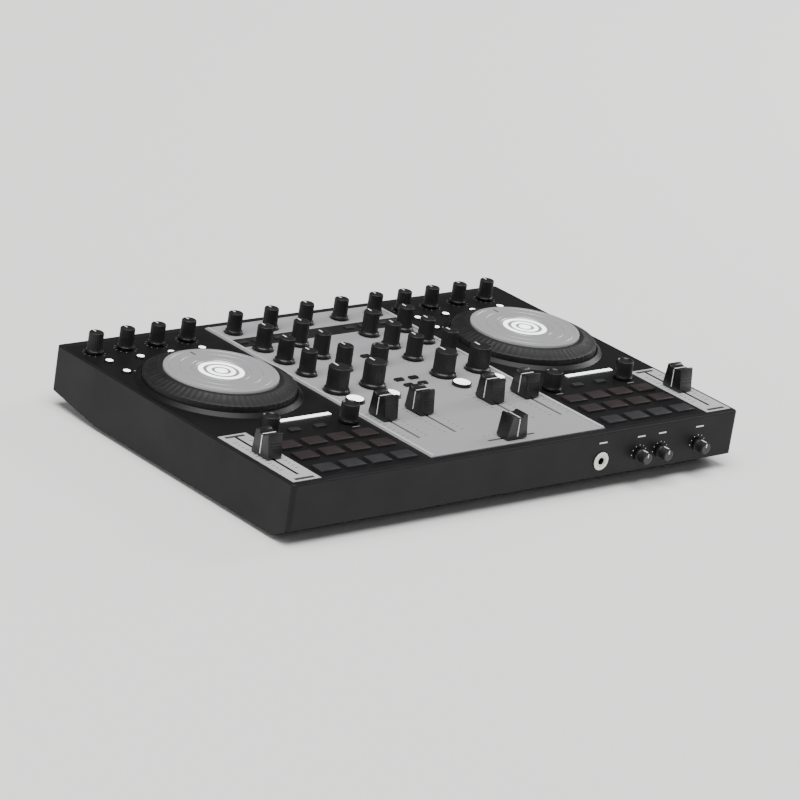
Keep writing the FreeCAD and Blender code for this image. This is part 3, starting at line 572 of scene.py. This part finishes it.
def addPadButton(bm, x, y, surface, width, length, height, index, bevel=0.9):
    root = buttonLook["root"]
    oldFaces = set(bm.faces)
    addBlock(bm, (x, y, surface + (height - root) / 2 * mm), (width, length, height + root), 0.0, index)
    made = [face for face in bm.faces if face not in oldFaces]
    edges = list({edge for face in made for edge in face.edges
                  if max(vert.co.z for vert in edge.verts) > surface + height * 0.9 * mm})
    bmesh.ops.recalc_face_normals(bm, faces=made)
    bmesh.ops.bevel(bm, geom=edges, offset=bevel * mm, offset_type="OFFSET", segments=3, profile=0.5,
                    affect="EDGES", material=-1)
    paint(bm, oldFaces, index)


def addRoundButton(bm, x, y, surface, radius, height, index, rimIndex):
    place = Matrix.Translation((x, y, surface))
    root = -buttonLook["root"]
    spinProfile(bm, [(0, root), (radius, root), (radius, height - 0.5), (radius - 0.2, height - 0.15),
                     (radius - 0.6, height), (radius - 1.0, height)], 40, place, rimIndex)
    spinProfile(bm, [(radius - 1.0, height), (radius - 1.2, height - 0.25), (radius * 0.5, height - 0.1),
                     (0, height - 0.05)], 40, place, index)


# rows on the decks and the mixer, and the distances between buttons, in mm
rows = {"rear": -91.0, "middle": -114.0, "front": -141.0}
deckLook = {"padInset": 13.0, "padPitch": 27.3, "encoderRow": -65.0, "effectRow": 116.0, "modeRow": 91.0}
mixerLook = {"assignOffset": 8.0, "clusterRow": -10.1, "clusterSpread": 6.5, "cueOffset": 25.0,
             "browseOffset": 17.2}


def deckCentre(side):
    return middle(f"jog_rim_{side}").x


def padX(side, column):
    return deckCentre(side) + (deckLook["padPitch"] * column - deckLook["padInset"] * sides[side]) * mm


def makeDeckButtons(side):
    bm = bmesh.new()
    for column in (-1.5, -0.5, 0.5, 1.5):
        for row, along in rows.items():
            index = 0 if row == "front" else 1
            addPadButton(bm, padX(side, column), along * mm, panelTop, buttonLook["padWidth"],
                         buttonLook["padLength"], buttonLook["padHeight"], index)
    for column in (-0.5, 0.5):
        addPadButton(bm, padX(side, column), deckLook["encoderRow"] * mm, panelTop,
                     buttonLook["smallWidth"], buttonLook["smallLength"], buttonLook["smallHeight"], 0, 0.6)
    for number in range(1, 5):
        x = middle(f"fx_knob_{side}_{number}").x
        addRoundButton(bm, x, deckLook["effectRow"] * mm, panelTop, buttonLook["roundRadius"],
                       buttonLook["smallHeight"], 2, 3)
    x = middle(f"fx_knob_{side}_1").x
    addRoundButton(bm, x, deckLook["modeRow"] * mm, panelTop, buttonLook["roundRadius"],
                   buttonLook["smallHeight"], 2, 3)
    node = f"{side}_deck_buttons"
    return finishPiece(bm, node + "_look", [padSilicone, warmSilicone, lampAndPaintedGlow, satinAbs], node,
                       [node])


def addAssignButton(bm, x, y, index):
    addPadButton(bm, x, y, plateTop, buttonLook["assignWidth"], buttonLook["assignLength"],
                 buttonLook["smallHeight"], index, 0.6)


def makeMixerButtons():
    bm = bmesh.new()
    cueY = middle("filter_knob_a").y - mixerLook["cueOffset"] * mm
    offset = mixerLook["assignOffset"] * mm
    for channel in channelNames:
        x = middle(f"gain_knob_{channel}").x
        addRoundButton(bm, x, cueY, plateTop, buttonLook["cueRadius"], buttonLook["cueHeight"], 1, 2)
        for step in (-1, 1):
            addAssignButton(bm, x + step * offset, assignRow, 0)
    for step in (-1, 1):
        for row in (-1, 1):
            clusterY = (mixerLook["clusterRow"] + row * mixerLook["clusterSpread"]) * mm
            addAssignButton(bm, step * offset, clusterY, 2)
    addAssignButton(bm, 0.0, middle("browse_knob").y + mixerLook["browseOffset"] * mm, 2)
    return finishPiece(bm, "mixer_buttons_look", [padSilicone, lampAndPaintedGlow, satinAbs], "mixer_buttons",
                       ["mixer_buttons"])


for side in sides:
    makeDeckButtons(side)
makeMixerButtons()
print("buttons made")


# ---- trim on the panels

trimLook = {"stripWidth": 29.0, "stripLength": 100.0, "stripHeight": 0.4, "stripRow": 56.0,
            "slotWidth": 3.0, "slotLength": 84.0, "railWidth": 3.2, "railHeight": 0.9, "railInset": 2.4,
            "lampLength": 54.0, "lampWidth": 4.6, "lampHeight": 0.6, "lampRow": -44.5,
            "lampShift": {"left": 27.0, "right": 6.0},
            # the reach and hole on the next line size the ring of painted shade round each mixer knob's
            # foot
            "ink": 0.06, "shadeReach": 1.2, "shadeHole": 4.0,
            "tickReach": 2.0, "tickWidth": 0.45, "tickLength": 1.5}
# pitch scale printed on each tempo strip, and the caption plate at each end of it
tempoScale = {"offset": 8.2, "pitch": 5.0, "width": 0.6, "long": 4.6, "short": 2.8,
              "plateInset": 4.2, "plateMargin": 9.0, "plateLength": 3.4}


def makeTempoStrip(side):
    centre = middle(f"tempo_fader_{side}")
    stripMiddle = frontFace + trimLook["stripRow"] * mm
    width, length, height = trimLook["stripWidth"], trimLook["stripLength"], trimLook["stripHeight"]
    bm = bmesh.new()
    grid = bmesh.ops.create_grid(bm, x_segments=1, y_segments=1, size=0.5)["verts"]
    bmesh.ops.scale(bm, vec=(width * mm, length * mm, 1.0), verts=grid)
    bmesh.ops.inset_region(bm, faces=bm.faces[:], thickness=4 * mm, use_boundary=True, use_even_offset=True)
    # the inset outline becomes the slot that the fader runs in
    inner = [vert for vert in bm.verts if abs(vert.co.x) < (width / 2 - 1) * mm]
    for vert in inner:
        vert.co.x = math.copysign(trimLook["slotWidth"] / 2 * mm, vert.co.x)
        vert.co.y = math.copysign(trimLook["slotLength"] / 2 * mm, vert.co.y) + centre.y - stripMiddle
    hole = [face for face in bm.faces if all(vert in inner for vert in face.verts)]
    bmesh.ops.delete(bm, geom=hole, context="FACES_ONLY")
    flat = bm.faces[:]
    grown = bmesh.ops.extrude_face_region(bm, geom=flat, use_keep_orig=True)
    moved = [item for item in grown["geom"] if isinstance(item, bmesh.types.BMVert)]
    bmesh.ops.translate(bm, vec=(0, 0, height * mm), verts=moved)
    bmesh.ops.transform(bm, matrix=Matrix.Translation((centre.x, stripMiddle, panelTop)), verts=bm.verts)
    # pitch scale on both sides of the slot and a dark caption plate at each end
    oldFaces = set(bm.faces)
    top = panelTop + (height + trimLook["ink"] / 2) * mm
    for tick in range(13):
        reach = tempoScale["long"] if tick % 3 == 0 else tempoScale["short"]
        for step in (-1, 1):
            addTick(bm, centre.x + step * tempoScale["offset"] * mm,
                    centre.y + (tick - 6) * tempoScale["pitch"] * mm, top, math.pi / 2,
                    tempoScale["width"], reach)
    for step in (-1, 1):
        addTick(bm, centre.x, stripMiddle + step * (length / 2 - tempoScale["plateInset"]) * mm, top, 0.0,
                width - tempoScale["plateMargin"], tempoScale["plateLength"])
    paint(bm, oldFaces, 1)
    return finishPiece(bm, f"tempo_strip_{side}", [brushedStrip, darkInkAndPaintedShade], "base")


def makeRails():
    bm = bmesh.new()
    length = (plateHigh.y - plateLow.y) / mm - 2.0
    for step in (-1, 1):
        x = step * (plateHigh.x - trimLook["railInset"] * mm)
        addBlock(bm, (x, (plateLow.y + plateHigh.y) / 2, plateTop + trimLook["railHeight"] / 2 * mm),
                 (trimLook["railWidth"], length, trimLook["railHeight"]), 0.35, 0, 2)
    return finishPiece(bm, "mixer_rails", [brushedStrip], "base")


def makeLightBars():
    bm = bmesh.new()
    height = trimLook["lampHeight"]
    for side, shift in trimLook["lampShift"].items():
        addBlock(bm, (deckCentre(side) + shift * mm, trimLook["lampRow"] * mm, panelTop + height / 2 * mm),
                 (trimLook["lampLength"], trimLook["lampWidth"], height), 0.25, 0, 2)
    return finishPiece(bm, "deck_light_bars", [lampAndPaintedGlow], "base")


def addTick(bm, x, y, z, angle, width, length):
    shape = Matrix.Diagonal((width * mm, length * mm, trimLook["ink"] * mm, 1.0))
    place = Matrix.Translation((x, y, z)) @ Matrix.Rotation(angle, 4, "Z")
    bmesh.ops.create_cube(bm, size=1.0, matrix=place @ shape)


def makeDialTicks(name, nodes, surface, material):
    # eleven ticks from seven o'clock to five o'clock round each knob
    bm = bmesh.new()
    for node in nodes:
        low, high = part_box(node)
        centre = (low + high) / 2
        radius = (high.x - low.x) / 2 + trimLook["tickReach"] * mm
        for tick in range(11):
            angle = math.radians(-150 + 30 * tick)
            addTick(bm, centre.x - math.sin(angle) * radius, centre.y + math.cos(angle) * radius,
                    surface + trimLook["ink"] / 2 * mm, angle,
                    trimLook["tickWidth"], trimLook["tickLength"])
    return finishPiece(bm, name, [material], "base")


def makeKnobFootShade():
    # painted contact shade: a dark ring round the foot of each mixer knob, where the knob's shade falls on
    # the plate
    bm = bmesh.new()
    ink, hole = trimLook["ink"], trimLook["shadeHole"]
    for node in mixerDials:
        low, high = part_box(node)
        centre = (low + high) / 2
        radius = (high.x - low.x) / 2 / mm + trimLook["shadeReach"]
        spinProfile(bm, [(radius, 0.0), (radius, ink), (hole, ink), (hole, 0.0)], 48,
                    Matrix.Translation((centre.x, centre.y, plateTop)))
    return finishPiece(bm, "mixer_knob_foot_shade", [darkInkAndPaintedShade], "base")


scaleLook = {"restToTop": 15.0, "pitch": 6.0, "offset": 10.2, "crossPitch": 5.6, "crossOffset": 9.4,
             "long": 4.0, "short": 2.4, "middle": 0.8}


def makeFaderScales():
    bm = bmesh.new()
    surface = plateTop + trimLook["ink"] / 2 * mm
    for channel in channelNames:
        centre = middle(f"channel_fader_{channel}")
        top = centre.y + scaleLook["restToTop"] * mm
        for tick in range(11):
            length = scaleLook["long"] if tick % 5 == 0 else scaleLook["short"]
            for step in (-1, 1):
                addTick(bm, centre.x + step * scaleLook["offset"] * mm,
                        top - tick * scaleLook["pitch"] * mm, surface, math.pi / 2,
                        trimLook["tickWidth"], length)
    cross = middle("crossfader")
    for tick in range(9):
        length = scaleLook["long"] if tick % 4 == 0 else scaleLook["short"]
        if tick == 4:
            length = scaleLook["middle"]
        addTick(bm, cross.x + (tick - 4) * scaleLook["crossPitch"] * mm,
                cross.y + scaleLook["crossOffset"] * mm, surface, 0.0, trimLook["tickWidth"], length)
    return finishPiece(bm, "fader_scales", [darkInkAndPaintedShade], "base")


# captions stand as plain bars: how far each lies from what it names, and its size
captionLook = {"modeShift": 14.0, "modeSize": (12.0, 2.0), "padShift": 8.6, "padSize": (9.0, 0.7),
               "knobShift": 11.0, "knobSize": (8.0, 0.8), "socketSize": (9.0, 0.06, 1.2),
               "arcRadius": 8.6, "arcSize": (0.7, 0.06, 0.7), "lift": 0.03}


def makePanelMarks():
    bm = bmesh.new()
    z = panelTop + trimLook["ink"] / 2 * mm
    for side in sides:
        x = middle(f"fx_knob_{side}_1").x
        addTick(bm, x + captionLook["modeShift"] * mm, deckLook["modeRow"] * mm, z, 0.0,
                *captionLook["modeSize"])
        for column in (-1.5, -0.5, 0.5, 1.5):
            for along in rows.values():
                addTick(bm, padX(side, column), (along + captionLook["padShift"]) * mm, z, 0.0,
                        *captionLook["padSize"])
        for name in ("loop_move", "loop_size"):
            centre = middle(f"{name}_knob_{side}")
            addTick(bm, centre.x, centre.y - captionLook["knobShift"] * mm, z, 0.0,
                    *captionLook["knobSize"])
    return finishPiece(bm, "deck_captions", [greyInk], "base")


socketLook = {"frontRow": 24.5, "frontCaptions": 41.0, "phonesColumn": 90.0, "rearRow": 27.0,
              "rearCaptions": 37.5, "pinOffset": 7.0, "ringSeat": 0.9,
              "pinColumns": (-205.0, -165.0, -125.0, -85.0, 105.0),
              "otherColumns": (45.0, 70.0, 160.0, 205.0)}


def makeFrontMarks():
    bm = bmesh.new()
    row = caseFoot + socketLook["frontCaptions"] * mm
    face = frontFace - captionLook["lift"] * mm
    radius = captionLook["arcRadius"] * mm
    columns = [middle(name).x for name in ("mic_level_knob", "cue_mix_knob", "phones_level_knob")]
    columns.append(socketLook["phonesColumn"] * mm)
    for x in columns:
        addBlock(bm, (x, face, row), captionLook["socketSize"])
    # an arc of short ticks over each knob
    for x in columns[:3]:
        for tick in range(7):
            angle = math.radians(-90 + 30 * tick)
            centre = Vector((x + math.sin(angle) * radius, face,
                             caseFoot + socketLook["frontRow"] * mm + math.cos(angle) * radius))
            addBlock(bm, centre, captionLook["arcSize"])
    return finishPiece(bm, "front_captions", [whiteInk], "base")


def makeJackRing():
    bm = bmesh.new()
    centre = (socketLook["phonesColumn"] * mm, frontFace - socketLook["ringSeat"] * mm,
              caseFoot + socketLook["frontRow"] * mm)
    place = Matrix.Translation(centre) @ Matrix.Rotation(math.pi / 2, 4, "X")
    spinProfile(bm, [(5.4, 0.0), (8.0, 0.0), (8.0, 0.35), (7.7, 0.6), (5.7, 0.6), (5.4, 0.35), (5.4, 0.0)],
                64, place)
    return finishPiece(bm, "headphone_ring", [whiteInk], "base")


def makePinCollars():
    bm = bmesh.new()
    up = caseFoot + socketLook["rearRow"] * mm
    for column in socketLook["pinColumns"]:
        for step, index in ((-1, 0), (1, 1)):
            across = (column + step * socketLook["pinOffset"]) * mm
            place = Matrix.Translation((across, rearFace, up)) @ Matrix.Rotation(-math.pi / 2, 4, "X")
            spinProfile(bm, [(4.25, 0.02), (6.4, 0.02), (6.4, 0.9), (6.0, 1.3), (4.25, 1.3), (4.25, 0.02)],
                        48, place, index)
    return finishPiece(bm, "pin_socket_collars", [whiteInk, redAbs], "base")


def makeRearMarks():
    bm = bmesh.new()
    up = caseFoot + socketLook["rearCaptions"] * mm
    for column in socketLook["pinColumns"] + socketLook["otherColumns"]:
        addBlock(bm, (column * mm, rearFace + captionLook["lift"] * mm, up), captionLook["socketSize"])
    return finishPiece(bm, "rear_captions", [greyInk], "base")


for side in sides:
    makeTempoStrip(side)
makeRails()
makeLightBars()
mixerDials = [f"gain_knob_{channel}" for channel in channelNames] + ["main_level_knob"]
mixerDials += [f"eq_{band}_knob_{channel}" for band in ("high", "mid", "low") for channel in channelNames]
mixerDials += [f"filter_knob_{channel}" for channel in channelNames]
deckDials = [f"fx_knob_{side}_{number}" for side in sides for number in range(1, 5)]
# painted shade: a dark ring round the foot of each mixer knob
makeKnobFootShade()
makeDialTicks("mixer_dials", mixerDials, plateTop, darkInkAndPaintedShade)
makeDialTicks("deck_dials", deckDials, panelTop, greyInk)
makeFaderScales()
makePanelMarks()
makeFrontMarks()
makeJackRing()
makePinCollars()
makeRearMarks()
print("trim made")


# ---- stage, light and camera

stageLook = {"floor": 7.0, "lens": 182.0, "farthest": 30.0, "aim": (0.0, 0.0, 0.034),
             "camera": (-2.2335, -2.3988, 1.2328), "lean": 8.87, "world": 0.16,
             "sun": 4.6, "sunSpread": 50, "sunTilt": (8, -10)}
floorMaterial = makeFinish("paleFloor", {
    "colour": "f4f4f2", "second": "f0f0ee", "patch": 300, "roughness": 0.75, "spread": 0.05,
    "grain": 3, "depth": 0.02, "bump": 0.1})
bm = bmesh.new()
bmesh.ops.create_grid(bm, x_segments=1, y_segments=1, size=stageLook["floor"])
floorMesh = bpy.data.meshes.new("floor")
bm.to_mesh(floorMesh)
bm.free()
floorMesh.materials.append(floorMaterial)
floor = bpy.data.objects.new("floor", floorMesh)
bpy.context.scene.collection.objects.link(floor)

aim = Vector(stageLook["aim"])


def addLight(name, place, size, power, colour="ffffff"):
    data = bpy.data.lights.new(name, "AREA")
    data.shape = "RECTANGLE"
    data.size = size[0]
    data.size_y = size[1]
    data.energy = power
    data.color = linear(colour)[:3]
    light = bpy.data.objects.new(name, data)
    light.location = place
    light.rotation_euler = (aim - Vector(place)).to_track_quat("-Z", "Y").to_euler()
    bpy.context.scene.collection.objects.link(light)


addLight("rightStrip", (2.6, 0.1, 1.3), (0.8, 1.6), 40)
addLight("leftFill", (-2.6, 0.4, 1.3), (1.6, 1.2), 18)
addLight("frontFill", (-0.6, -2.8, 1.6), (1.6, 1.0), 7)
# an even overhead panel, large enough to light the whole floor alike
overhead = bpy.data.lights.new("overheadPanel", "SUN")
overhead.energy = stageLook["sun"]
overhead.angle = math.radians(stageLook["sunSpread"])
overheadLamp = bpy.data.objects.new("overheadPanel", overhead)
tilt = [math.radians(degrees) for degrees in stageLook["sunTilt"]]
overheadLamp.rotation_euler = (tilt[0], tilt[1], 0.0)
bpy.context.scene.collection.objects.link(overheadLamp)
world = bpy.data.worlds.new("studio")
bpy.context.scene.world = world
world.use_nodes = True
background = world.node_tree.nodes["Background"]
background.inputs["Color"].default_value = linear("f2f3f5")
background.inputs["Strength"].default_value = stageLook["world"]

cameraData = bpy.data.cameras.new("camera")
cameraData.lens = stageLook["lens"]
cameraData.clip_end = stageLook["farthest"]
camera = bpy.data.objects.new("camera", cameraData)
cameraPlace = Vector(stageLook["camera"])
lean = math.radians(stageLook["lean"])  # the view leans a little to the left
looking = (aim - cameraPlace).to_track_quat("-Z", "Y").to_matrix().to_4x4()
camera.matrix_world = Matrix.Translation(cameraPlace) @ looking @ Matrix.Rotation(lean, 4, "Z")
bpy.context.scene.collection.objects.link(camera)
bpy.context.scene.camera = camera
print("stage made")
